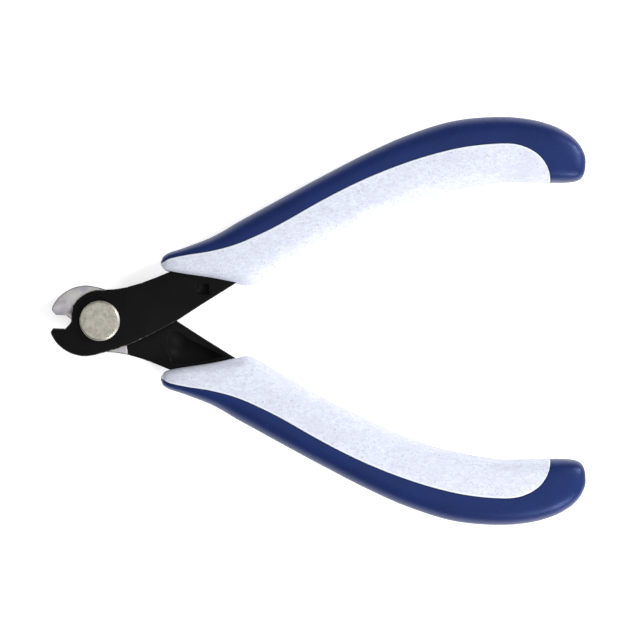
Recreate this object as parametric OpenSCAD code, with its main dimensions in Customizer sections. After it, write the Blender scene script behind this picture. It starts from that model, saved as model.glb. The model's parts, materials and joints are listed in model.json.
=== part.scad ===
// Lap-jointed glass nippers with two-part moulded grips, lying flat and open.
// Origin: the bench under the middle of the tool. +X runs from the jaws to the handle ends,
// +Y to the handle of the front blade and +Z up, away from the bench.
// Every outline is drawn about the pivot, on the plane where the blades lap, and seated at the end.

/* [Blades] */
// Thickness of each blade plate
plate_t = 3; // [2.6:0.1:3.4]
// Gap between the two plates where they lap
lap_gap = 0.05; // [0.02:0.01:0.1]
// Radius of the round boss about the pivot
boss_r = 8.15; // [8:0.05:8.3]
// Depth of the relief sunk in each mating face
relief_depth = 0.25; // [0.1:0.05:0.4]
// Length and width of the blank stake mark on the front blade
mark_size = [3.5, 3]; // [1:0.05:4]
// Depth of the stake mark
mark_depth = 0.15; // [0.05:0.05:0.5]

/* [Pivot] */
// Radius of the rivet's shank
shank_r = 3; // [2.6:0.1:3]
// Running clearance around the shank in the front blade
bore_clearance = 0.03; // [0.02:0.01:0.08]
// Radius of the rivet's head, and of the washer
head_r = 5.25; // [5.1:0.05:5.6]
// Thickness of the rivet's head
head_t = 1.3; // [1:0.1:1.6]
// Width of the bevel round the rivet's head
head_bevel = 0.4; // [0.2:0.05:0.6]
// Thickness of the washer under the rear blade
washer_t = 1; // [0.8:0.1:1.1]
// Radius of the peened tail
tail_r = 3.9; // [3.5:0.1:4.2]
// Thickness of the peened tail
tail_t = 0.7; // [0.4:0.1:0.8]

/* [Return spring] */
// Diameter of the spring wire
wire_d = 1; // [0.8:0.1:1]
// Radius of the wire ring, to the middle of the wire
ring_r = 4.3; // [4.2:0.05:4.35]
// How far each hooked end reaches from the lap plane
hook_reach = 1.7; // [1.5:0.1:2]

/* [Grips] */
// Thickness of each grip
grip_t = 12; // [11:0.5:13]
// Roundness of the grip's section: 2 is an ellipse, larger is squarer
section_power = 2.5; // [2.2:0.1:3.2]
// How far the section overshoots its flat lands before it is cut level
land_overshoot = 1.1; // [1.1:0.01:1.15]

/* [Hidden] */
$fn = 64;
pivot = [-57.1, 0, grip_t / 2];
wire_r = wire_d / 2;
groove_slack = 0.2;
groove_depth = wire_r + 0.1;
hook_bend_r = 0.7;
hook_hole_r = wire_r + 0.12;
head_gap = 0.03;
ring_steps = 20;

// Edge points of the blade blank, as the front blade lies: jaw to the lower left, tang to the upper right.
jaw_edge = [[-12.7, -3.8], [-11.65, -5.5], [-10.4, -6.8], [-8.8, -7.95], [-6.9, -8.8], [-4.3, -9.3],
    [-1.8, -9.05], [1, -8.3], [6.8, -6.5], [13.9, -3.25], [19.7, -0.15]];
tang_inner = [[26.5, 4.25], [35.4, 9.8], [46, 15.4], [56, 21.2], [66, 26.4], [76, 30.9], [86, 34.6], [92, 36.4]];
tang_outer = [[93.6, 37.9], [94, 39.9], [92.6, 41.6], [86, 40.6], [76, 37.3], [66, 33], [56, 27.8], [46, 22.2],
    [38, 18.4], [30, 15.8], [22, 14.2], [17.8, 12.7], [14.4, 11.3], [10.9, 10], [6.8, 8.8], [3.6, 8.3]];
throat = [[-7.38, 2.86], [-7.58, 1.2], [-7.6, -0.1]];
relief_edge = [[17.9, 2.4], [20.8, 2.8], [23.4, 4.75], [28.7, 7.4], [32.4, 9.3], [28.4, 10.5], [22, 11.4],
    [19, 11.4], [17.2, 7.5]];
mark_centre = [26.9, 8.3];
// Where each jaw's lip starts, its tip, and where its cutting edge meets the throat.
front_jaw = [[-12.99, -2.89], [-12.31, -1.86], [-9.1, -2.02], [-7.95, -0.75]];
rear_jaw = [[-12.75, -2.7], [-11.75, -1.56], [-9.1, -1.45], [-8.0, -0.62]];

// Grip stations, nose to end: outer edge x and y, inner edge x and y, half thickness as a part of the full one.
grip_stations = [
    [16.05, 15.9, 16.15, 14.3, 0.45], [16.5, 16.95, 16.8, 13.4, 0.62], [18.2, 18, 18.1, 12.85, 0.76],
    [21.6, 19.1, 22, 12.15, 0.88], [28, 21.5, 29.2, 11.05, 0.97], [31.6, 23.3, 35.3, 9.8, 1],
    [33.8, 24.6, 38.6, 9.2, 1], [35.8, 25.8, 41.8, 10.5, 1], [40.5, 28.4, 48.1, 14.2, 1],
    [49.8, 33.5, 57.6, 19.8, 1], [59.5, 38.7, 67, 24.5, 1], [69.8, 44, 76.5, 28.9, 1],
    [80.5, 48.75, 85.9, 32.5, 1], [92.2, 52.4, 95.4, 34.8, 1], [103.5, 53.55, 104.8, 36.2, 1],
    [112, 53, 112, 36.2, 1], [118.3, 51.4, 118.2, 36.2, 1], [122.6, 49.2, 122.5, 36.25, 0.93],
    [125.2, 46.9, 125.1, 36.7, 0.82], [126.7, 44.4, 126.5, 37.8, 0.66], [127.2, 42.4, 127.15, 39.9, 0.5]];
// The seam between the sleeve and the core, from ahead of the nose to inside of the end.
seam = [[14, 14.9], [16, 15], [18.2, 16.25], [22.9, 17.25], [29.2, 18.25], [35.5, 19.95], [41.8, 22.6],
    [48.1, 25.8], [57.6, 31.2], [67, 36], [76.5, 40], [85.9, 43.15], [95.4, 45.4], [104.8, 46.3],
    [110, 45.8], [114.3, 43.6], [117, 40], [118.1, 35]];
sleeve_far_corners = [[118.1, 30], [135, 30], [135, 62], [14, 62]];

// Catmull-Rom curve through the points p, with n steps from each to the next.
function held(p, i) = p[max(0, min(len(p) - 1, i))];
function curve_point(a, b, c, d, t) =
    b + (c - a) * t / 2 + (a - 2.5 * b + 2 * c - d / 2) * pow(t, 2) + (1.5 * (b - c) + (d - a) / 2) * pow(t, 3);
function curve(p, n) = [
    for (i = [0:len(p) - 2], k = [0:n - 1]) curve_point(held(p, i - 1), p[i], p[i + 1], held(p, i + 2), k / n),
    p[len(p) - 1]];
function arc(r, from, to, n) = [for (i = [0:n]) r * [cos(from + (to - from) * i / n), sin(from + (to - from) * i / n)]];
function signed_power(v, p) = sign(v) * pow(abs(v), p);

// One section of a grip: level lands above and below, rounded towards the edges, upright at each side.
function grip_ring(s) = let (o = [s[0], s[1]], i = [s[2], s[3]], h = min(1, s[4]) * grip_t / 2) [
    for (k = [0:ring_steps - 1]) let (
        a = 360 * (k + 0.5) / ring_steps,
        across = signed_power(cos(a) / cos(180 / ring_steps), 2 / section_power),
        up = land_overshoot * signed_power(sin(a), 2 / section_power),
        p = (o + i) / 2 + (o - i) / 2 * across)
        [p[0], p[1], h * max(-1, min(1, up))]];

module seat() { translate(pivot) children(); }

module grip_body() {
    stations = curve(grip_stations, 2);
    count = len(stations);
    points = [for (s = stations) each grip_ring(s)];
    sides = [for (i = [0:count - 2], k = [0:ring_steps - 1]) let (
        a = i * ring_steps + k,
        b = i * ring_steps + (k + 1) % ring_steps)
        each [[a, b + ring_steps, b], [a, a + ring_steps, b + ring_steps]]];
    nose = [[for (k = [0:ring_steps - 1]) k]];
    end = [[for (k = [ring_steps - 1:-1:0]) (count - 1) * ring_steps + k]];
    polyhedron(points, concat(sides, nose, end), convexity = 4);
}

// The outer side of the grip, beyond the seam.
module sleeve_zone() {
    translate([0, 0, -grip_t]) linear_extrude(2 * grip_t, convexity = 4)
        polygon(concat(curve(seam, 3), sleeve_far_corners));
}

module blank_outline(jaw) {
    polygon(concat([jaw[0]], curve(jaw_edge, 3), tang_inner, tang_outer, arc(boss_r, 88, 151, 12), throat,
        [jaw[3], jaw[2], jaw[1]]));
}

// The plain blank of one blade, from the lap plane up.
module blank(jaw) {
    translate([0, 0, lap_gap / 2]) linear_extrude(plate_t - lap_gap / 2, convexity = 4) blank_outline(jaw);
}

module ring_groove() {
    translate([0, 0, -1]) difference() {
        cylinder(r = ring_r + wire_r + groove_slack, h = 1 + groove_depth);
        cylinder(r = ring_r - wire_r - groove_slack, h = 1 + groove_depth);
    }
}

// One blade, seen from its outer face, with its mating face down and a blind hole for its spring hook.
module blade(jaw, bore_r, hook) {
    difference() {
        blank(jaw);
        translate([0, 0, -1]) cylinder(r = bore_r, h = plate_t + 2);
        ring_groove();
        translate([hook[0], hook[1], 0]) cylinder(r = hook_hole_r, h = hook_reach + 0.2);
        translate([0, 0, -1]) linear_extrude(1 + lap_gap / 2 + relief_depth) polygon(relief_edge);
    }
}

module front_blade() {
    color("#1c1c1e") seat() difference() {
        blade(front_jaw, shank_r + bore_clearance, [ring_r, -hook_bend_r]);
        translate([mark_centre[0], mark_centre[1], plate_t])
            cube([mark_size[0], mark_size[1], 2 * mark_depth], center = true);
    }
}

module rear_blade() {
    color("#a9a6a8") seat() rotate([180, 0, 0]) blade(rear_jaw, shank_r, [hook_bend_r, ring_r]);
}

module pivot_rivet() {
    seat_z = plate_t + head_gap;
    tail_z = -plate_t - washer_t;
    color("#b3ae9f") seat() rotate_extrude()
        polygon([[0, tail_z - tail_t], [tail_r - 0.3, tail_z - tail_t], [tail_r, tail_z - tail_t + 0.3],
            [tail_r, tail_z], [shank_r, tail_z], [shank_r, seat_z], [head_r, seat_z],
            [head_r, seat_z + head_t - head_bevel], [head_r - head_bevel, seat_z + head_t], [0, seat_z + head_t]]);
}

module rivet_washer() {
    color("#8d8b8a") seat() translate([0, 0, -plate_t - washer_t]) difference() {
        cylinder(r = head_r, h = washer_t);
        translate([0, 0, -1]) cylinder(r = shank_r, h = washer_t + 2);
    }
}

// A hooked end: a quarter bend from the end of the ring into the blade above it.
module spring_hook() {
    translate([ring_r, 0, hook_bend_r]) rotate([0, 90, 180]) rotate_extrude(angle = 90)
        translate([hook_bend_r, 0]) circle(r = wire_r);
    translate([ring_r, -hook_bend_r, hook_bend_r]) cylinder(r = wire_r, h = hook_reach - hook_bend_r);
}

// Three quarters of a ring round the rivet, in the grooves of both blades.
module return_spring() {
    color("#77787c") seat() {
        rotate_extrude(angle = 270) translate([ring_r, 0]) circle(r = wire_r);
        spring_hook();
        rotate([180, 0, -90]) spring_hook();
    }
}

module grip_core() {
    difference() {
        grip_body();
        sleeve_zone();
        blank(front_jaw);
    }
}

module grip_sleeve() {
    intersection() {
        grip_body();
        sleeve_zone();
    }
}

module upper_grip_core() { color("#e9eaf3") seat() grip_core(); }

module upper_grip_sleeve() { color("#22356f") seat() grip_sleeve(); }

module lower_grip_core() { color("#e9eaf3") seat() rotate([180, 0, 0]) grip_core(); }

module lower_grip_sleeve() { color("#22356f") seat() rotate([180, 0, 0]) grip_sleeve(); }

front_blade();
rear_blade();
pivot_rivet();
rivet_washer();
return_spring();
upper_grip_core();
upper_grip_sleeve();
lower_grip_core();
lower_grip_sleeve();
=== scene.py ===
"""Glass nippers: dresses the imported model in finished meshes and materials, and sets the studio round it."""

import json
import math

import bmesh
import bpy
from bpy.props import FloatProperty, FloatVectorProperty, IntProperty, PointerProperty
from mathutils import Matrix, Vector


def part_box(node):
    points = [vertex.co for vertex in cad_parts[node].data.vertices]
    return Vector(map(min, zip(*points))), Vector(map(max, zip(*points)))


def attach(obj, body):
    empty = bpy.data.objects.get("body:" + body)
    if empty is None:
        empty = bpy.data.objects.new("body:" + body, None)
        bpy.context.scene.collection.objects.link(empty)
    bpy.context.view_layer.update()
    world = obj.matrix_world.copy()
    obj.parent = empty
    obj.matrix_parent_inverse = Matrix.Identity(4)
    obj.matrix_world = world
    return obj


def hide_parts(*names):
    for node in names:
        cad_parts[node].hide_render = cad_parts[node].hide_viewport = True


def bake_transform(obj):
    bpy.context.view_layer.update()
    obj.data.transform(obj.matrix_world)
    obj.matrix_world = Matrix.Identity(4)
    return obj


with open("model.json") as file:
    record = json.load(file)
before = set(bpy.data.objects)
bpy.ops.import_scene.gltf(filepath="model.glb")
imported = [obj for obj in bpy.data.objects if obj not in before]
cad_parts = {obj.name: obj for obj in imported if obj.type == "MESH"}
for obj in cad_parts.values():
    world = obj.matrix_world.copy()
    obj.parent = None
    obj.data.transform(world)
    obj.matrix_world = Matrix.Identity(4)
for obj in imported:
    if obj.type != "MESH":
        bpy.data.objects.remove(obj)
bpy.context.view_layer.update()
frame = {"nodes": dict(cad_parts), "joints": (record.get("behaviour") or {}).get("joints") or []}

bl_info = {
    "name": "Glass Nippers",
    "version": (1, 0, 0),
    "blender": (4, 5, 0),
    "location": "3D View > Sidebar > Nippers",
    "description": "Finished meshes, materials and studio for a pair of lap-jointed glass nippers",
    "category": "Object",
}

MM = 0.001
PIVOT = Vector(frame["joints"][0]["pos_m"])
HALF_GRIP = PIVOT.z
GRIP_FAR_CORNER = (Vector(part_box("upper_grip_sleeve")[1]) - PIVOT) / MM

# Grip stations in millimetres from the pivot, nose to end, as in the CAD model: outer edge x and y,
# inner edge x and y, and half thickness as a part of the full one.
GRIP_STATIONS = (
    (16.05, 15.9, 16.15, 14.3, 0.45), (16.5, 16.95, 16.8, 13.4, 0.62), (18.2, 18, 18.1, 12.85, 0.76),
    (21.6, 19.1, 22, 12.15, 0.88), (28, 21.5, 29.2, 11.05, 0.97), (31.6, 23.3, 35.3, 9.8, 1),
    (33.8, 24.6, 38.6, 9.2, 1), (35.8, 25.8, 41.8, 10.5, 1), (40.5, 28.4, 48.1, 14.2, 1),
    (49.8, 33.5, 57.6, 19.8, 1), (59.5, 38.7, 67, 24.5, 1), (69.8, 44, 76.5, 28.9, 1),
    (80.5, 48.75, 85.9, 32.5, 1), (92.2, 52.4, 95.4, 34.8, 1), (103.5, 53.55, 104.8, 36.2, 1),
    (112, 53, 112, 36.2, 1), (118.3, 51.4, 118.2, 36.2, 1), (122.6, 49.2, 122.5, 36.25, 0.93),
    (125.2, 46.9, 125.1, 36.7, 0.82), (126.7, 44.4, 126.5, 37.8, 0.66), (127.2, 42.4, 127.15, 39.9, 0.5),
)
# The seam between the navy sleeve and the white core, nose to end.
SEAM = (
    (14, 14.9), (16, 15), (18.2, 16.25), (22.9, 17.25), (29.2, 18.25), (35.5, 19.95), (41.8, 22.6),
    (48.1, 25.8), (57.6, 31.2), (67, 36), (76.5, 40), (85.9, 43.15), (95.4, 45.4), (104.8, 46.3),
    (110, 45.8), (114.3, 43.6), (117, 40), (118.1, 35),
)
SEAM_MARGIN = (0.0, 0.03, 0.08, 0.15, 0.26, 0.42, 0.65)  # millimetres from the seam to each line of mesh
THIN_CORE = 0.04            # the core stops where it is this thin a part of the section
LAST_STATION = 19.6         # from here the end closes in a dome
DOME_ROWS = 8               # steps in which each end closes
NOSE_DOME = 0.3             # millimetres that the dome at the nose stands forward
END_GAP = 0.02              # millimetres that the dome at the end stays inside the CAD model's box
THIN_EDGE = 0.02            # least height, in millimetres, of a point off the parting line
TURN_RUN = 6.3              # millimetres between two stations where the seam turns down
TURN_MARGIN = (0.04, 0.1, 0.18, 0.3, 0.5)  # millimetres from that turn to the extra rings of mesh
TURN_CLEAR = 0.09           # part of a station round the turn that holds no other ring
SECTION_POWER = 2.5         # squareness of a grip's section
LAND_OVERSHOOT = 1.1        # how far the section would rise, of its height, without the level land on top
LAND_BLEND = 8              # sharpness of the turn from the section's curve to the land

# The plates' and the pivot's sizes in millimetres, as in the CAD model.
PLATE_T = 3.0
MARK_CENTRE = (26.9, 8.3)
MARK_SIZE = (3.5, 3.0)
SHANK_R = 3.0
HEAD_T = 1.3
TAIL_R = 3.9
WIRE_R = 0.5
HOOK_BEND_R = 0.7
# Finish of the turned pieces. The pairs hold millimetres in from the outline and millimetres off the face.
RIM_ROUND = 0.08            # radius of an outer corner, in millimetres
HEAD_EASE = ((0.0, 0.03), (0.06, 0.006), (0.12, 0.0))
TAIL_PEEN = ((0.75, 0.1), (0.3, 0.24), (0.06, 0.46))
WASHER_EASE = ((0.2, 0.0), (0.07, 0.05), (0.0, 0.2))
BEVEL_RISE = 0.62           # height of the head's bevel, of its width

# The finish line leans to the handles by this much of its distance off the tool's centre line, and its
# setting is measured this many millimetres off that line.
FINISH_LEAN = 0.12
FINISH_OFF_CENTRE = 7.5
# A CAD mesh's points closer than this, in millimetres, are one, and faces this nearly level are one.
MERGE_GAP = 0.0005
FLAT_ANGLE = math.radians(0.6)
# Edges sharper than this angle are broken. One on a wall taller than this, in millimetres, takes the full
# width, and an upright corner or a shallow recess takes a part of it.
SHARP_ANGLE = math.radians(40)
TALL_WALL = 2.0
CORNER_BREAK = 0.5
RECESS_BREAK = 0.25

VIEW_CENTRE = (0.47, 0.24)  # what the camera looks at, in millimetres from the tool's middle
FLOOR_SIZE = 8              # metres


def linear(code):
    """An sRGB hex colour such as "#22356f" as linear RGBA."""
    parts = [int(code[i:i + 2], 16) / 255 for i in (1, 3, 5)]
    return [c / 12.92 if c <= 0.04045 else ((c + 0.055) / 1.055) ** 2.4 for c in parts] + [1.0]


# ---------------------------------------------------------------- settings

class NippersBladeSettings(bpy.types.PropertyGroup):
    edge_break: FloatProperty(
        name="Edge break", description="Width of the tumbled edge round each plate",
        default=0.2 * MM, min=0.02 * MM, max=0.4 * MM, subtype="DISTANCE", unit="LENGTH", precision=5)
    finish_line: FloatProperty(
        name="Finish line", description="Distance from the pivot at which the ground face turns black",
        default=6.95 * MM, min=4 * MM, max=12 * MM, subtype="DISTANCE", unit="LENGTH", precision=5)


class NippersPivotSettings(bpy.types.PropertyGroup):
    head_bevel: FloatProperty(
        name="Head bevel", description="Width of the bevel round the rivet's head",
        default=0.42 * MM, min=0.1 * MM, max=0.6 * MM, subtype="DISTANCE", unit="LENGTH", precision=5)
    face_offset: FloatVectorProperty(
        name="Face offset", description="How far the rivet's dressed face lies off the head's centre",
        default=(-0.12 * MM, 0.03 * MM), size=2, subtype="XYZ", unit="LENGTH", precision=5)
    segments: IntProperty(
        name="Segments", description="Facets round the turned pieces", default=144, min=32, max=256)
    wire_sides: IntProperty(
        name="Wire sides", description="Facets round the spring wire", default=20, min=8, max=48)


class NippersGripSettings(bpy.types.PropertyGroup):
    rows: IntProperty(
        name="Rows", description="Rings of mesh between one grip station and the next",
        default=12, min=3, max=30)
    columns: IntProperty(
        name="Columns", description="Facets across each half of a grip", default=22, min=6, max=60)
    core_edge: FloatProperty(
        name="Core edge", description="Radius of the white core's edge along the seam",
        default=0.26 * MM, min=0.05 * MM, max=0.6 * MM, subtype="DISTANCE", unit="LENGTH", precision=5)
    sleeve_edge: FloatProperty(
        name="Sleeve edge", description="Radius of the navy sleeve's edge along the seam",
        default=0.14 * MM, min=0.05 * MM, max=0.6 * MM, subtype="DISTANCE", unit="LENGTH", precision=5)
    navy: FloatVectorProperty(
        name="Navy", description="Colour of the rubber sleeve", size=3, subtype="COLOR",
        default=linear("#112257")[:3], min=0, max=1)
    white: FloatVectorProperty(
        name="White", description="Colour of the moulded core", size=3, subtype="COLOR",
        default=linear("#e6ebf8")[:3], min=0, max=1)


class NippersStageSettings(bpy.types.PropertyGroup):
    view_width: FloatProperty(
        name="View width", description="Width of what the camera sees at the lap plane",
        default=168 * MM, min=0.05, max=1, subtype="DISTANCE", unit="LENGTH")
    lens: FloatProperty(
        name="Lens", description="Focal length of the camera", default=200, min=50, max=400, unit="CAMERA")
    key_power: FloatProperty(
        name="Key light", description="Power of the soft light in front", default=4.4, min=0, unit="POWER")
    overhead_power: FloatProperty(
        name="Overhead light", description="Power of the large soft light above the camera", default=2.4,
        min=0, unit="POWER")
    side_power: FloatProperty(
        name="Side light", description="Power of the soft light at the handles' end", default=4.6, min=0,
        unit="POWER")
    sky: FloatProperty(
        name="Room light", description="Strength of the even light all round", default=0.31, min=0, max=3)


# ---------------------------------------------------------------- curves and meshes

def curve_point(points, t):
    """The point at station t of a smooth curve through the points."""
    last = len(points) - 1
    i = min(int(t), last - 1)
    s = t - i
    a, b, c, d = (points[max(0, min(last, i + k))] for k in (-1, 0, 1, 2))
    return [
        q + (r - p) * s / 2 + (p - 2.5 * q + 2 * r - w / 2) * s * s + (1.5 * (q - r) + (w - p) / 2) * s ** 3
        for p, q, r, w in zip(a, b, c, d)]


def new_object(name, mesh):
    """A mesh object at the origin in the scene's collection."""
    obj = bpy.data.objects.new(name, mesh)
    bpy.context.scene.collection.objects.link(obj)
    return obj


def mesh_from(name, points, faces):
    """A closed mesh with its normals outwards, from points in millimetres about the pivot."""
    mesh = bpy.data.meshes.new(name)
    mesh.from_pydata([PIVOT + Vector(p) * MM for p in points], [], faces)
    if mesh.validate():
        raise RuntimeError(f"{name} has faces that repeat a point or each other")
    work = bmesh.new()
    work.from_mesh(mesh)
    bmesh.ops.recalc_face_normals(work, faces=work.faces)
    open_edges = sum(len(edge.link_faces) != 2 for edge in work.edges)
    if open_edges:
        raise RuntimeError(f"{name} has {open_edges} edges that don't join two faces")
    work.to_mesh(mesh)
    work.free()
    return mesh


def turned(name, profile, segments):
    """A solid of revolution about the pivot's axis. profile holds (radius, height) in millimetres, and a
    ring may be moved off centre by a third and a fourth number."""
    points, rings = [], []
    for r, z, *offset in profile:
        dx, dy = offset or (0, 0)
        if r == 0:
            rings.append([len(points)])
            points.append((dx, dy, z))
            continue
        rings.append(list(range(len(points), len(points) + segments)))
        for k in range(segments):
            a = math.tau * k / segments
            points.append((dx + r * math.cos(a), dy + r * math.sin(a), z))
    faces = []
    for low, high in zip(rings, rings[1:] + rings[:1]):
        if len(low) == len(high) == 1:
            continue
        for k in range(segments):
            n = (k + 1) % segments
            if len(low) == 1:
                faces.append((low[0], high[n], high[k]))
            elif len(high) == 1:
                faces.append((low[k], low[n], high[0]))
            else:
                faces.append((low[k], low[n], high[n], high[k]))
    mesh = mesh_from(name, points, faces)
    mesh.shade_smooth()
    mesh.set_sharp_from_angle(angle=math.radians(28))
    return new_object(name, mesh)


def edge_weight(edge):
    """How much of the full edge break an edge takes: all of it round the plate, half at an upright corner,
    less round a shallow recess, whose own depth would not hold more, and none inside a corner."""
    if len(edge.link_faces) != 2 or not edge.is_convex or edge.calc_face_angle() < SHARP_ANGLE:
        return 0.0
    walls = [face for face in edge.link_faces if abs(face.normal.z) < 0.5]
    if len(walls) != 1:
        return CORNER_BREAK
    heights = [vertex.co.z for vertex in walls[0].verts]
    return 1.0 if max(heights) - min(heights) > TALL_WALL * MM else RECESS_BREAK


def dressed_copy(node, name, width, materials):
    """A merged copy of a CAD node with its hard edges broken by a small round, which takes the second
    material."""
    mesh = frame["nodes"][node].data.copy()
    mesh.name = name
    work = bmesh.new()
    work.from_mesh(mesh)
    bmesh.ops.remove_doubles(work, verts=work.verts, dist=MERGE_GAP * MM)
    bmesh.ops.dissolve_limit(work, angle_limit=FLAT_ANGLE, verts=work.verts, edges=work.edges)
    work.normal_update()
    weights = work.edges.layers.float.new("bevel_weight_edge")
    for edge in work.edges:
        edge[weights] = edge_weight(edge)
    work.to_mesh(mesh)
    work.free()
    mesh.materials.clear()
    for material in materials:
        mesh.materials.append(material)
    mesh.polygons.foreach_set("material_index", [0] * len(mesh.polygons))
    mesh.shade_smooth()
    obj = new_object(name, mesh)
    edge = obj.modifiers.new("edge break", "BEVEL")
    edge.width = width
    edge.segments = 3
    edge.limit_method = "WEIGHT"
    edge.harden_normals = True
    edge.use_clamp_overlap = True
    edge.material = 1
    return obj


# ---------------------------------------------------------------- material tools

def connect(tree, node, inputs):
    """Sets a node's inputs, or links them to other nodes or their outputs. inputs follows the order of the
    sockets, or maps their names or numbers."""
    for key, value in inputs.items() if isinstance(inputs, dict) else enumerate(inputs):
        if isinstance(value, bpy.types.Node):
            value = value.outputs[0]
        if isinstance(value, bpy.types.NodeSocket):
            tree.links.new(value, node.inputs[key])
        else:
            node.inputs[key].default_value = value


def add(tree, kind, inputs=(), **settings):
    """Adds a node with its settings and links."""
    node = tree.nodes.new(kind)
    for key, value in settings.items():
        setattr(node, key, value)
    connect(tree, node, inputs)
    return node


def begin(name):
    """A new material with its tree and its shader."""
    material = bpy.data.materials.new(name)
    material.use_nodes = True
    return material, material.node_tree, material.node_tree.nodes["Principled BSDF"]


def grain(tree, coords, size_mm, detail=3.0, stretch=(1, 1, 1), roughness=0.5, distortion=0.0):
    """A pattern of blotches about size_mm across, longer along an axis whose stretch is over 1."""
    scale = 1 / (size_mm * MM)
    where = add(tree, "ShaderNodeMapping", {"Vector": coords, "Scale": [scale / s for s in stretch]})
    return add(tree, "ShaderNodeTexNoise", {
        "Vector": where, "Scale": 1.0, "Detail": detail, "Roughness": roughness, "Distortion": distortion})


def layered(tree, base, *layers):
    """A base colour with layers over it, each given by how much of it shows and by its colour."""
    for amount, colour in layers:
        # The colour sockets of this node are its inputs 6 and 7 and its output 2.
        mix = add(tree, "ShaderNodeMix", {0: amount, 6: base, 7: colour}, data_type="RGBA")
        base = mix.outputs[2]
    return base


# ---------------------------------------------------------------- materials

def in_mark(tree, place, soft_mm):
    """1 inside the stake mark on the front tang's face, fading out over a soft edge."""
    inside = 1.0
    for axis in (0, 1):
        middle = PIVOT[axis] + MARK_CENTRE[axis] * MM
        half = MARK_SIZE[axis] / 2
        off = add(tree, "ShaderNodeMath", (place.outputs[axis], middle), operation="SUBTRACT")
        away = add(tree, "ShaderNodeMath", (off,), operation="ABSOLUTE")
        within = add(
            tree, "ShaderNodeMapRange", (away, (half - soft_mm) * MM, (half + soft_mm) * MM, 1.0, 0.0),
            interpolation_type="SMOOTHSTEP")
        inside = add(tree, "ShaderNodeMath", (within, inside), operation="MULTIPLY")
    face_z = PIVOT.z + (PLATE_T - 0.5) * MM
    on_top = add(tree, "ShaderNodeMath", (place.outputs["Z"], face_z), operation="GREATER_THAN")
    return add(tree, "ShaderNodeMath", (inside, on_top), operation="MULTIPLY")


def black_oxide_blade(settings):
    """Tool steel, pressed, then blacked in hot oxide salts: a deep satin black. The mating face is ground
    bright at the jaw and boss and left black beyond the finish line."""
    material, tree, shader = begin("blade_black_oxide_and_ground_steel")
    coords = add(tree, "ShaderNodeTexCoord").outputs["Object"]
    place = add(tree, "ShaderNodeSeparateXYZ", (coords,))
    above_lap = add(tree, "ShaderNodeMath", (place.outputs["Z"], PIVOT.z), operation="SUBTRACT")
    from_lap = add(tree, "ShaderNodeMath", (above_lap,), operation="ABSOLUTE")
    on_lap = add(tree, "ShaderNodeMath", (from_lap, 0.06 * MM), operation="LESS_THAN")

    # The finish line is ragged by 0.12 mm to each side.
    ragged = add(tree, "ShaderNodeMapRange", (grain(tree, coords, 1.4, 2.0), 0, 1, -0.12 * MM, 0.12 * MM))
    off_centre = add(tree, "ShaderNodeMath", (place.outputs["Y"],), operation="ABSOLUTE")
    lean = add(tree, "ShaderNodeMath", (off_centre, -FINISH_LEAN), operation="MULTIPLY")
    ragged_x = add(tree, "ShaderNodeMath", (place.outputs["X"], ragged), operation="ADD")
    along = add(tree, "ShaderNodeMath", (ragged_x, lean), operation="ADD")
    line = PIVOT.x + settings.finish_line - FINISH_LEAN * FINISH_OFF_CENTRE * MM
    jaw_side = add(tree, "ShaderNodeMapRange", (along, line - 0.06 * MM, line + 0.06 * MM, 1.0, 0.0))
    ground = add(tree, "ShaderNodeMath", (on_lap, jaw_side), operation="MULTIPLY")

    # The oxide is a shade lighter where it has been handled, and has a fine pressed grain.
    handled = add(tree, "ShaderNodeMapRange", (grain(tree, coords, 5.0, 4.0), 0.35, 0.7))
    fine = grain(tree, coords, 0.35)
    pressed = add(tree, "ShaderNodeMapRange", (fine, 0.3, 0.75, 0.0, 0.45))
    tang_side = add(tree, "ShaderNodeMapRange", (along, line - 0.3 * MM, line + 0.3 * MM, 0.0, 0.3))
    black = layered(
        tree, linear("#0a0a0a"), (handled, linear("#101011")), (pressed, linear("#161616")),
        (in_mark(tree, place, 0.55), linear("#040404")), (tang_side, linear("#131313")))

    # Surface grinding leaves parallel lines; they are drawn 0.25 mm apart so that they show. The wheel
    # leaves a bright line where it lifts off.
    lines = grain(tree, coords, 0.25, stretch=(1, 14, 1))
    scored = add(tree, "ShaderNodeMapRange", (lines, 0.3, 0.72))
    cloud = add(tree, "ShaderNodeMapRange", (grain(tree, coords, 2.6, 2.0), 0.42, 0.62, 0.0, 0.7))
    lift_off = add(tree, "ShaderNodeMath", (along, line - 0.22 * MM, 0.12 * MM), operation="COMPARE")
    steel = layered(
        tree, linear("#c4c2c0"), (scored, linear("#dad8d5")), (cloud, linear("#adaabb")),
        (lift_off, linear("#e6e3dc")))

    rough_black = add(tree, "ShaderNodeMapRange", (grain(tree, coords, 0.9, 4.0), 0.3, 0.7, 0.46, 0.6))
    rough_steel = add(tree, "ShaderNodeMapRange", (lines, 0.3, 0.7, 0.3, 0.44))
    pressed_bump = add(tree, "ShaderNodeBump", {"Height": fine, "Distance": 0.02 * MM, "Strength": 0.35})
    connect(tree, shader, {
        "Base Color": layered(tree, black, (ground, steel)),
        "Metallic": ground,
        "Roughness": add(tree, "ShaderNodeMix", {0: ground, 2: rough_black, 3: rough_steel}),
        "Specular IOR Level": 0.07,
        "Normal": add(tree, "ShaderNodeBump", {
            "Height": lines, "Distance": 0.006 * MM, "Strength": 0.4, "Normal": pressed_bump})})
    return material


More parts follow.
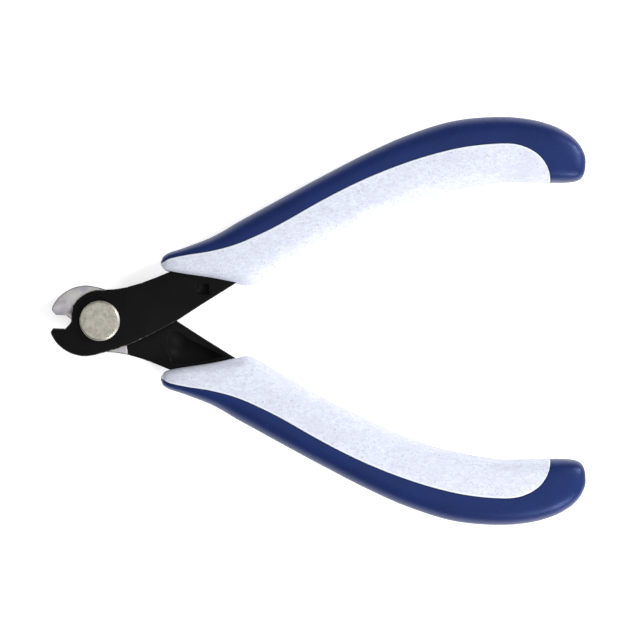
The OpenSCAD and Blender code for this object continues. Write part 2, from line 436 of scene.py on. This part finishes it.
def worn_edge():
    """The tumbled edge of the plates: oxide rubbed through to bare steel in places, most of all near the
    jaw and boss, and still black along the tang."""
    material, tree, shader = begin("blade_worn_edge")
    coords = add(tree, "ShaderNodeTexCoord").outputs["Object"]
    place = add(tree, "ShaderNodeSeparateXYZ", (coords,))
    near_jaw = add(tree, "ShaderNodeMapRange", (
        place.outputs["X"], PIVOT.x - 4 * MM, PIVOT.x + 22 * MM, 0.12, -0.15))
    wear = add(tree, "ShaderNodeMath", (grain(tree, coords, 1.3, 4.0), near_jaw), operation="ADD")
    patches = add(tree, "ShaderNodeMapRange", (wear, 0.5, 0.64))
    off_mark = add(tree, "ShaderNodeMath", (1.0, in_mark(tree, place, 0.8)), operation="SUBTRACT")
    rubbed = add(tree, "ShaderNodeMath", (patches, off_mark), operation="MULTIPLY")
    fine = grain(tree, coords, 0.3, 2.0)
    connect(tree, shader, {
        "Base Color": layered(tree, linear("#161617"), (rubbed, linear("#8f8c86"))),
        "Metallic": add(tree, "ShaderNodeMath", (rubbed, 0.85), operation="MULTIPLY"),
        "Roughness": add(tree, "ShaderNodeMapRange", (rubbed, 0, 1, 0.5, 0.36)),
        "Specular IOR Level": 0.25,
        "Normal": add(tree, "ShaderNodeBump", {"Height": fine, "Distance": 0.015 * MM, "Strength": 0.3})})
    return material


def turned_steel(name, base, light, dark):
    """Mild steel, turned or rolled and dulled by handling: grey with faint streaks and darker specks."""
    material, tree, shader = begin(name)
    coords = add(tree, "ShaderNodeTexCoord").outputs["Object"]
    streaks = grain(tree, coords, 0.4, stretch=(1, 4, 1))
    cloud = grain(tree, coords, 0.9, 4.0, roughness=0.6)
    specks = grain(tree, coords, 0.28, 2.0)
    streaked = add(tree, "ShaderNodeMapRange", (streaks, 0.3, 0.7))
    clouded = add(tree, "ShaderNodeMapRange", (cloud, 0.4, 0.65, 0.0, 0.6))
    speckled = add(tree, "ShaderNodeMapRange", (specks, 0.62, 0.75, 0.0, 0.35))
    scuffs = add(tree, "ShaderNodeBump", {"Height": specks, "Distance": 0.01 * MM, "Strength": 0.25})
    connect(tree, shader, {
        "Base Color": layered(
            tree, linear(base), (streaked, linear(light)), (clouded, linear(dark)),
            (speckled, linear(dark))),
        "Metallic": 1.0,
        "Roughness": add(tree, "ShaderNodeMapRange", (cloud, 0.3, 0.7, 0.34, 0.48)),
        "Normal": add(tree, "ShaderNodeBump", {
            "Height": streaks, "Distance": 0.006 * MM, "Strength": 0.35, "Normal": scuffs})})
    return material


def drawn_wire():
    """Spring wire, drawn and oil tempered: dark grey, faintly mottled by the tempering."""
    material, tree, shader = begin("spring_wire_oil_tempered")
    coords = add(tree, "ShaderNodeTexCoord").outputs["Object"]
    mottle = grain(tree, coords, 0.2, 2.0)
    tempered = add(tree, "ShaderNodeMapRange", (mottle, 0.3, 0.7))
    connect(tree, shader, {
        "Base Color": layered(tree, linear("#4d4e52"), (tempered, linear("#75767a"))),
        "Metallic": 1.0,
        "Roughness": 0.38,
        "Normal": add(tree, "ShaderNodeBump", {"Height": mottle, "Distance": 0.01 * MM, "Strength": 0.3})})
    return material


def moulded_navy(settings):
    """Thermoplastic rubber, moulded with a fine spark-eroded texture: a deep satin navy that greys where the
    light grazes it, with painted sheen on its texture's raised flecks and painted shade darkest in the seam."""
    material, tree, shader = begin("grip_navy_soft_rubber")
    coords = add(tree, "ShaderNodeTexCoord").outputs["Object"]
    seam = add(tree, "ShaderNodeAttribute", attribute_name="seam_mm").outputs["Fac"]
    cloud = add(tree, "ShaderNodeMapRange", (grain(tree, coords, 9.0), 0.35, 0.7))
    fine = grain(tree, coords, 0.45, 4.0, roughness=0.6)
    # Painted sheen: the raised flecks of the texture are painted a lighter, greyer navy, as if the light
    # caught them.
    painted_sheen = add(tree, "ShaderNodeMapRange", (fine, 0.55, 0.8, 0.0, 0.3))
    # Painted shade: the navy is painted darker towards the seam, as the shade in the groove between the sleeve
    # and the core.
    painted_seam_shade = add(
        tree, "ShaderNodeMapRange", (seam, 0.1, 0.45, 0.6, 0.0), interpolation_type="SMOOTHSTEP")
    navy = list(settings.navy) + [1.0]
    lighter = [c * 1.25 for c in settings.navy] + [1.0]
    # The base colour carries the painted sheen and the painted shade at the seam.
    connect(tree, shader, {
        "Base Color": layered(
            tree, navy, (cloud, lighter), (painted_sheen, linear("#33457f")), (painted_seam_shade, linear("#0b1030"))),
        "Roughness": add(tree, "ShaderNodeMapRange", (fine, 0.3, 0.7, 0.32, 0.46)),
        "Specular IOR Level": 0.5,
        "Specular Tint": linear("#b3c8ff"),
        "Sheen Weight": 0.02,
        "Sheen Roughness": 0.4,
        "Sheen Tint": linear("#bccbf9"),
        "Normal": add(tree, "ShaderNodeBump", {"Height": fine, "Distance": 0.06 * MM, "Strength": 0.7})})
    return material


def moulded_white(settings):
    """Filled white moulding: cool white with fine grey and lavender flecks of filler, a clean painted
    highlight along the seam, and painted shade on the sides, darker towards the mould's parting line."""
    material, tree, shader = begin("grip_white_mottled_moulding")
    coords = add(tree, "ShaderNodeTexCoord").outputs["Object"]
    place = add(tree, "ShaderNodeSeparateXYZ", (coords,))
    above_parting = add(tree, "ShaderNodeMath", (place.outputs["Z"], PIVOT.z), operation="SUBTRACT")
    from_parting = add(tree, "ShaderNodeMath", (above_parting,), operation="ABSOLUTE")
    seam = add(tree, "ShaderNodeAttribute", attribute_name="seam_mm").outputs["Fac"]
    flecks = grain(tree, coords, 0.7, 4.0, stretch=(1.7, 1, 1), roughness=0.62, distortion=0.6)
    clouds = grain(tree, coords, 3.2, 4.0, stretch=(1.8, 1, 1), distortion=0.8)
    blots = grain(tree, coords, 0.42, 2.0, distortion=0.4)
    fine = grain(tree, coords, 0.3, 2.0)
    flecked = add(tree, "ShaderNodeMapRange", (flecks, 0.42, 0.72))
    clouded = add(tree, "ShaderNodeMapRange", (clouds, 0.42, 0.66, 0.0, 0.55))
    blotted = add(tree, "ShaderNodeMapRange", (blots, 0.6, 0.74, 0.0, 0.75))
    # Painted highlight: the core is painted a brighter, bluer white close to the seam, where its rounded edge
    # meets the light.
    painted_seam_highlight = add(
        tree, "ShaderNodeMapRange", (seam, 0.25, 0.6, 1.0, 0.0), interpolation_type="SMOOTHSTEP")
    # Painted shade: the sides are painted greyer the nearer they come to the parting line, as the shade on
    # faces turned from the lights.
    painted_side_shade = add(
        tree, "ShaderNodeMapRange", (from_parting, 1.2 * MM, 4.2 * MM, 0.6, 0.0),
        interpolation_type="SMOOTHSTEP")
    flecks_bump = add(tree, "ShaderNodeBump", {"Height": flecks, "Distance": 0.03 * MM, "Strength": 0.3})
    # The base colour carries the painted highlight along the seam and the painted shade on the sides.
    connect(tree, shader, {
        "Base Color": layered(
            tree, list(settings.white) + [1.0], (flecked, linear("#cdd0e0")), (clouded, linear("#d3d6e8")),
            (blotted, linear("#a3a4b8")), (painted_seam_highlight, linear("#f2f8ff")), (painted_side_shade, linear("#bfc1ce"))),
        "Roughness": add(tree, "ShaderNodeMapRange", (flecks, 0.3, 0.7, 0.5, 0.64)),
        "Specular IOR Level": 0.4,
        "Normal": add(tree, "ShaderNodeBump", {
            "Height": fine, "Distance": 0.025 * MM, "Strength": 0.35, "Normal": flecks_bump})})
    return material


def opal_acrylic():
    """Opal acrylic, frosted and lit from behind, so that a shadow on it is only a trace."""
    material, tree, shader = begin("studio_opal_acrylic")
    connect(tree, shader, {
        "Base Color": linear("#f7f7f7"), "Roughness": 0.9, "Specular IOR Level": 0.1,
        "Emission Color": linear("#ffffff"), "Emission Strength": 0.6})
    return material


# ---------------------------------------------------------------- grips

def edge_drop(distance, radius):
    """How far a rounded edge has dropped at a distance from the seam, all in millimetres."""
    if distance >= radius:
        return 0.0
    return radius - math.sqrt(max(0.0, radius ** 2 - (radius - distance) ** 2))


def section_height(across):
    """Height of a grip's section, from 0 to 1, at -1 to 1 across it: round at the sides, nearly level on
    top."""
    raw = LAND_OVERSHOOT * max(0.0, 1 - abs(across) ** SECTION_POWER) ** (1 / SECTION_POWER)
    if raw <= 0:
        return 0.0
    soft = (raw ** -LAND_BLEND + 1) ** (-1 / LAND_BLEND)
    return soft * (LAND_OVERSHOOT ** -LAND_BLEND + 1) ** (1 / LAND_BLEND)


def grip_station(t):
    """Outer point, inner point and half thickness in millimetres at station t. Below 0 and beyond the last
    station the grip closes in a shallow dome."""
    held = max(0.0, min(LAST_STATION, t))
    ox, oy, ix, iy, h = curve_point(GRIP_STATIONS, held)
    oy = min(oy, GRIP_FAR_CORNER.y)
    outer, inner = Vector((ox, oy)), Vector((ix, iy))
    height = min(1.0, h) * HALF_GRIP / MM
    if t != held:
        turn = min(1.0, abs(t - held)) * math.pi / 2
        reach = -NOSE_DOME if t < 0 else GRIP_FAR_CORNER.x - max(ox, ix) - END_GAP
        centre = (outer + inner) / 2
        shift = Vector((reach * math.sin(turn), 0))
        outer = centre + (outer - centre) * math.cos(turn) + shift
        inner = centre + (inner - centre) * math.cos(turn) + shift
        height *= math.cos(turn)
    return outer, inner, height


def seam_part(outer, inner, seam):
    """Where the seam crosses a section, from 0 at the inner edge to 1 at the outer edge, or None."""
    span = outer - inner
    for a, b in zip(seam, seam[1:]):
        run = b - a
        cross = span.x * run.y - span.y * run.x
        if abs(cross) < 1e-9:
            continue
        offset = a - inner
        part = (offset.x * run.y - offset.y * run.x) / cross
        along = (offset.x * span.y - offset.y * span.x) / cross
        if 0 <= along <= 1 and 0 <= part <= 1:
            return part
    return None


def core_end(seam):
    """The station where the seam has come down to the inner edge and the white core stops."""
    t, step = LAST_STATION - 5, 0.002
    while True:
        outer, inner, _ = grip_station(t)
        part = seam_part(outer, inner, seam)
        if part is None or part < THIN_CORE:
            return t
        t += step


def grip_rows(settings, end):
    """Stations of the rings of mesh: evenly spread, close together where the seam turns down, and closing
    in a dome at both ends."""
    even = [i / settings.rows for i in range(int(LAST_STATION * settings.rows) + 1)]
    even = [t for t in even if abs(t - end) > TURN_CLEAR]
    near_turn = [end + side * margin / TURN_RUN for margin in TURN_MARGIN for side in (-1, 1)]
    steps = [k / DOME_ROWS for k in range(1, DOME_ROWS)]
    domes = [-step for step in steps] + [LAST_STATION + step for step in steps]
    return sorted(even + near_turn + domes + [end, LAST_STATION])


def grip_columns(settings, part, half_width):
    """Places across a section, -1 to 1, for the core and for the sleeve, close together by the seam."""
    middle = 2 * part - 1
    core_margin, sleeve_margin = (
        [d * min(1 / half_width, 0.8 * room / SEAM_MARGIN[-1]) for d in SEAM_MARGIN]
        for room in (1 + middle, 1 - middle))
    steps = settings.columns

    def spread(start, stop):
        # Even in the angle round the section, so that the rounded sides are as smooth as the top.
        def angle(v):
            v = max(-1.0, min(1.0, v))
            return math.acos(math.copysign(abs(v) ** (SECTION_POWER / 2), v))
        first, last = angle(start), angle(stop)
        for k in range(steps):
            c = math.cos(first + (last - first) * k / steps)
            yield math.copysign(abs(c) ** (2 / SECTION_POWER), c)

    core = list(spread(-1.0, middle - core_margin[-1])) + [middle - m for m in reversed(core_margin)]
    sleeve = list(spread(1.0, middle + sleeve_margin[-1])) + [middle + m for m in reversed(sleeve_margin)]
    return core, sleeve[::-1]


class GripMesh:
    """Points and faces of one moulding, with each point's distance from the seam."""

    def __init__(self):
        self.points, self.seam_mm, self.faces, self.index = [], [], [], {}

    def point(self, key, place, distance):
        """The number of the point with this key, made on its first use."""
        if key not in self.index:
            self.index[key] = len(self.points)
            self.points.append(place)
            self.seam_mm.append(distance)
        return self.index[key]

    def band(self, low, high):
        """Faces between two rows of points."""
        for k in range(len(low) - 1):
            self.faces.append((low[k], low[k + 1], high[k + 1], high[k]))

    def cap(self, ring):
        """One face across a ring of points."""
        self.faces.append(tuple(ring))

    def ring(self, row, section, places, tag, radius, distances):
        """Points over the top and under the bottom of one section, at the places across it."""
        outer, inner, height = section
        half, centre = (outer - inner) / 2, (outer + inner) / 2
        top, bottom = [], []
        for k, (across, distance) in enumerate(zip(places, distances)):
            flat = centre + half * across
            if abs(across) > 1 - 1e-9:
                top.append(self.point((row, tag, k, 0), (flat.x, flat.y, 0.0), distance))
                bottom.append(top[-1])
                continue
            z = max(THIN_EDGE, height * section_height(across) - edge_drop(distance, radius))
            top.append(self.point((row, tag, k, 1), (flat.x, flat.y, z), distance))
            bottom.append(self.point((row, tag, k, -1), (flat.x, flat.y, -z), distance))
        return top, bottom

    def finish(self, name, flip, material):
        """The piece in its own grip: as made for the upper one, turned over for the lower one."""
        points = [(x, -y, -z) if flip else (x, y, z) for x, y, z in self.points]
        mesh = mesh_from(name, points, self.faces)
        mesh.attributes.new("seam_mm", "FLOAT", "POINT").data.foreach_set("value", self.seam_mm)
        mesh.materials.append(material)
        mesh.shade_smooth()
        mesh.set_sharp_from_angle(angle=math.radians(50))
        return new_object(name, mesh)


def grip_meshes(settings):
    """The white core and the navy sleeve of the upper grip, which share one form and meet at the seam."""
    seam = [Vector(curve_point(SEAM, i / 12)) for i in range(12 * (len(SEAM) - 1) + 1)]
    core, sleeve = GripMesh(), GripMesh()
    core_r, sleeve_r = settings.core_edge / MM, settings.sleeve_edge / MM
    end = core_end(seam)
    turn_x = grip_station(end)[0].x
    core_rings, sleeve_rings, end_rings = [], [], []

    for row, t in enumerate(grip_rows(settings, end)):
        section = grip_station(t)
        half_width = (section[0] - section[1]).length / 2
        if t <= end:
            solid_outer, solid_inner, _ = grip_station(max(0.0, t))
            part = seam_part(solid_outer, solid_inner, seam) or THIN_CORE
        core_at, sleeve_at = grip_columns(settings, part, half_width)
        middle = 2 * part - 1
        if t <= end:
            to_turn = turn_x - grip_station(max(0.0, t))[0].x
            away = [min(abs(a - middle) * half_width, to_turn) for a in core_at]
            top, bottom = core.ring(row, section, core_at, "core", core_r, away)
            core_rings.append(top[::-1] + bottom[1:])
            away = [abs(a - middle) * half_width for a in sleeve_at]
            top, bottom = sleeve.ring(row, section, sleeve_at, "sleeve", sleeve_r, away)
            sleeve_rings.append(top + bottom[-2::-1])
        if t >= end:
            past_turn = section[0].x - turn_x
            away = [math.hypot(abs(a - middle) * half_width, past_turn) for a in sleeve_at]
            top, bottom = sleeve.ring(row, section, sleeve_at, "sleeve", sleeve_r, away)
            inner_at = core_at[:-1]
            away = [past_turn] * len(inner_at)
            inner_top, inner_bottom = sleeve.ring(row, section, inner_at, "inner", sleeve_r, away)
            end_rings.append((inner_top + top, inner_bottom + bottom))

    for low, high in zip(core_rings, core_rings[1:]):
        core.band(low + low[:1], high + high[:1])
    core.cap(core_rings[0])
    core.cap(core_rings[-1])
    for low, high in zip(sleeve_rings, sleeve_rings[1:]):
        sleeve.band(low + low[:1], high + high[:1])
    sleeve.cap(sleeve_rings[0])
    for (low_top, low_bottom), (high_top, high_bottom) in zip(end_rings, end_rings[1:]):
        sleeve.band(low_top, high_top)
        sleeve.band(low_bottom, high_bottom)
    first_top, first_bottom = end_rings[0]
    inner_count = len(first_top) - len(sleeve_rings[-1]) // 2
    inner_top, inner_bottom = first_top[:inner_count], first_bottom[:inner_count]
    sleeve.cap(inner_top + inner_bottom[:0:-1])
    last_top, last_bottom = end_rings[-1]
    sleeve.cap(last_top + last_bottom[-2:0:-1])
    return core, sleeve


# ---------------------------------------------------------------- operators

class NIPPERS_OT_blades(bpy.types.Operator):
    """Dress both pressed blades: broken edges, black oxide and ground mating faces"""
    bl_idname = "nippers.blades"
    bl_label = "Blades"

    def execute(self, context):
        settings = context.scene.nippers_blades
        materials = [black_oxide_blade(settings), worn_edge()]
        for node, body, slot in (
                ("front_blade", "front_half", "black_oxide_steel"),
                ("rear_blade", "rear_half", "ground_steel")):
            blade = dressed_copy(node, node + "_dressed", settings.edge_break, materials)
            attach(blade, body)
            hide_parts(node)
        return {"FINISHED"}


class NIPPERS_OT_rivet(bpy.types.Operator):
    """Turn the pivot rivet, with its bevelled head and peened tail, and the washer under it"""
    bl_idname = "nippers.rivet"
    bl_label = "Rivet and washer"

    def execute(self, context):
        settings = context.scene.nippers_pivot
        low, high = (Vector(corner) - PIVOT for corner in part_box("pivot_rivet"))
        washer_low, washer_high = (Vector(corner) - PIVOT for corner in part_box("rivet_washer"))
        top, tail, head_r = high.z / MM, low.z / MM, high.x / MM
        under_head = top - HEAD_T
        bevel = settings.head_bevel / MM
        dx, dy = (v / MM for v in settings.face_offset)
        washer_z = washer_low.z / MM
        rounds = [math.radians(a) for a in (0, 30, 60, 90)]
        rim_r, rim_z = head_r - RIM_ROUND, top - bevel * BEVEL_RISE - RIM_ROUND
        head = [(rim_r + RIM_ROUND * math.cos(a), rim_z + RIM_ROUND * math.sin(a)) for a in rounds]
        head += [(head_r - bevel - inset, top - drop, dx, dy) for inset, drop in HEAD_EASE]
        head += [(head_r * 0.5, top, dx, dy), (0, top, dx, dy)]
        peened = [(0, tail), (TAIL_R * 0.5, tail + 0.03)]
        peened += [(TAIL_R - inset, tail + rise) for inset, rise in TAIL_PEEN]
        peened += [(TAIL_R, washer_z - 0.12), (TAIL_R - 0.06, washer_z - 0.02), (SHANK_R, washer_z - 0.02)]
        rivet = turned(
            "pivot_rivet_turned", peened + [(SHANK_R, under_head), (head_r, under_head)] + head,
            settings.segments)
        rivet.data.materials.append(turned_steel("rivet_turned_steel", "#bab6aa", "#cac6bb", "#9c988c"))
        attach(rivet, "rear_half")
        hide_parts("pivot_rivet")

        out_r, high_z = washer_high.x / MM, washer_high.z / MM
        pressed = [(SHANK_R, washer_z)]
        pressed += [(out_r - inset, washer_z + rise) for inset, rise in WASHER_EASE]
        pressed += [(out_r, high_z - RIM_ROUND), (out_r - RIM_ROUND, high_z), (SHANK_R, high_z)]
        washer = turned("rivet_washer_pressed", pressed, settings.segments)
        washer.data.materials.append(turned_steel("washer_rolled_steel", "#9a9896", "#b0aeac", "#7d7b79"))
        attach(washer, "rear_half")
        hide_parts("rivet_washer")
        return {"FINISHED"}


def wire_tree(material):
    """Geometry Nodes that turn a line of edges into a round wire with closed ends."""
    tree = bpy.data.node_groups.new("wire along a line", "GeometryNodeTree")
    face = tree.interface
    face.new_socket("Geometry", in_out="INPUT", socket_type="NodeSocketGeometry")
    radius = face.new_socket("Wire radius", in_out="INPUT", socket_type="NodeSocketFloat")
    sides = face.new_socket("Sides", in_out="INPUT", socket_type="NodeSocketInt")
    face.new_socket("Geometry", in_out="OUTPUT", socket_type="NodeSocketGeometry")
    given = add(tree, "NodeGroupInput")
    line = add(tree, "GeometryNodeMeshToCurve", {"Mesh": given.outputs["Geometry"]})
    profile = add(tree, "GeometryNodeCurvePrimitiveCircle", {
        "Resolution": given.outputs["Sides"], "Radius": given.outputs["Wire radius"]})
    wire = add(tree, "GeometryNodeCurveToMesh", {
        "Curve": line, "Profile Curve": profile, "Fill Caps": True})
    smooth = add(tree, "GeometryNodeSetShadeSmooth", {"Geometry": wire})
    real = add(tree, "GeometryNodeRealizeInstances", {"Geometry": smooth})
    painted = add(tree, "GeometryNodeSetMaterial", {"Geometry": real, "Material": material})
    add(tree, "NodeGroupOutput", {"Geometry": painted})
    return tree, radius.identifier, sides.identifier


def spring_line(ring_r, bend_r, reach):
    """Three quarters of a ring with a hook up at one end and down at the other, in millimetres."""
    def hook(place):
        turns = [math.radians(a) for a in range(15, 91, 15)]
        bend = [(ring_r, -bend_r * math.sin(a), bend_r * (1 - math.cos(a))) for a in turns]
        return [place(p) for p in bend + [(ring_r, -bend_r, reach)]]
    ring = [math.radians(a) for a in range(0, 271, 5)]
    return (
        hook(lambda p: p)[::-1]
        + [(ring_r * math.cos(a), ring_r * math.sin(a), 0.0) for a in ring]
        + hook(lambda p: (-p[1], -p[0], -p[2])))


class NIPPERS_OT_spring(bpy.types.Operator):
    """Bend the hidden return spring round the rivet"""
    bl_idname = "nippers.spring"
    bl_label = "Return spring"

    def execute(self, context):
        settings = context.scene.nippers_pivot
        low, high = (Vector(corner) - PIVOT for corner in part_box("return_spring"))
        ring_r = -low.x / MM - WIRE_R
        points = [PIVOT + Vector(p) * MM for p in spring_line(ring_r, HOOK_BEND_R, high.z / MM)]
        mesh = bpy.data.meshes.new("spring line")
        mesh.from_pydata(points, [(i, i + 1) for i in range(len(points) - 1)], [])
        line = new_object("spring line", mesh)
        tree, radius_id, sides_id = wire_tree(drawn_wire())
        wire = line.modifiers.new("wire", "NODES")
        wire.node_group = tree
        wire[radius_id] = WIRE_R * MM
        wire[sides_id] = settings.wire_sides
        context.view_layer.update()
        made = line.evaluated_get(context.evaluated_depsgraph_get())
        spring = new_object("return_spring_wire", bpy.data.meshes.new_from_object(made))
        bpy.data.objects.remove(line)
        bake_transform(spring)
        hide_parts("return_spring")
        return {"FINISHED"}


class NIPPERS_OT_grips(bpy.types.Operator):
    """Mould the white cores and the navy sleeves of both grips"""
    bl_idname = "nippers.grips"
    bl_label = "Grips"

    def execute(self, context):
        settings = context.scene.nippers_grips
        navy, white = moulded_navy(settings), moulded_white(settings)
        core, sleeve = grip_meshes(settings)
        for side, body, flip in (("upper", "front_half", False), ("lower", "rear_half", True)):
            for moulding, node, material, slot in (
                    (core, "grip_core", white, "white_grip"),
                    (sleeve, "grip_sleeve", navy, "blue_grip")):
                piece = moulding.finish(f"{side}_{node}_moulded", flip, material)
                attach(piece, body)
                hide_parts(f"{side}_{node}")
        return {"FINISHED"}


class NIPPERS_OT_stage(bpy.types.Operator):
    """Set the pale floor, the soft lights and the camera"""
    bl_idname = "nippers.stage"
    bl_label = "Studio"

    def execute(self, context):
        settings = context.scene.nippers_stage
        bpy.ops.mesh.primitive_plane_add(size=FLOOR_SIZE, location=(0, 0, 0))
        floor = context.object
        floor.name = "studio_floor"
        floor.data.materials.append(opal_acrylic())

        world = bpy.data.worlds.new("studio")
        world.use_nodes = True
        sky = world.node_tree.nodes["Background"]
        sky.inputs["Color"].default_value = linear("#ffffff")
        sky.inputs["Strength"].default_value = settings.sky
        context.scene.world = world

        # Places and sizes in metres, powers in watts.
        for name, place, size, power in (
                ("key_softbox", (0.42, -0.6, 0.5), 0.22, settings.key_power),
                ("overhead_softbox", (0.0, 0.0, 1.25), 1.0, settings.overhead_power),
                ("side_softbox", (0.66, 0.3, 0.46), 0.24, settings.side_power)):
            lamp = bpy.data.lights.new(name, "AREA")
            lamp.shape = "SQUARE"
            lamp.size = size
            lamp.energy = power
            light = bpy.data.objects.new(name, lamp)
            light.location = place
            light.rotation_euler = (-Vector(place)).to_track_quat("-Z", "Y").to_euler()
            context.scene.collection.objects.link(light)

        lens = bpy.data.cameras.new("camera")
        lens.sensor_width = 36
        lens.lens = settings.lens
        lens.clip_start = 0.01
        camera = bpy.data.objects.new("camera", lens)
        distance = settings.view_width * settings.lens / lens.sensor_width
        camera.location = (VIEW_CENTRE[0] * MM, VIEW_CENTRE[1] * MM, PIVOT.z + distance)
        context.scene.collection.objects.link(camera)
        context.scene.camera = camera
        context.scene.view_settings.view_transform = "Standard"
        return {"FINISHED"}


class NIPPERS_PT_panel(bpy.types.Panel):
    """The nippers' pieces and settings"""
    bl_idname = "NIPPERS_PT_panel"
    bl_label = "Glass Nippers"
    bl_space_type = "VIEW_3D"
    bl_region_type = "UI"
    bl_category = "Nippers"

    def draw(self, context):
        for group in GROUPS:
            box = self.layout.box()
            for operator, used in PIECES:
                if used == group:
                    box.operator(operator.bl_idname)
            settings = getattr(context.scene, group)
            for name in settings.__annotations__:
                box.prop(settings, name)


GROUPS = {
    "nippers_blades": NippersBladeSettings,
    "nippers_pivot": NippersPivotSettings,
    "nippers_grips": NippersGripSettings,
    "nippers_stage": NippersStageSettings,
}
PIECES = (
    (NIPPERS_OT_blades, "nippers_blades"),
    (NIPPERS_OT_rivet, "nippers_pivot"),
    (NIPPERS_OT_spring, "nippers_pivot"),
    (NIPPERS_OT_grips, "nippers_grips"),
    (NIPPERS_OT_stage, "nippers_stage"),
)


def register():
    for name, group in GROUPS.items():
        bpy.utils.register_class(group)
        setattr(bpy.types.Scene, name, PointerProperty(type=group))
    for operator, _ in PIECES:
        bpy.utils.register_class(operator)
    bpy.utils.register_class(NIPPERS_PT_panel)


def unregister():
    bpy.utils.unregister_class(NIPPERS_PT_panel)
    for operator, _ in reversed(PIECES):
        bpy.utils.unregister_class(operator)
    for name, group in reversed(GROUPS.items()):
        delattr(bpy.types.Scene, name)
        bpy.utils.unregister_class(group)


def main():
    register()
    for operator, _ in PIECES:
        group, name = operator.bl_idname.split(".")
        getattr(getattr(bpy.ops, group), name)()


if __name__ == "__main__":
    main()
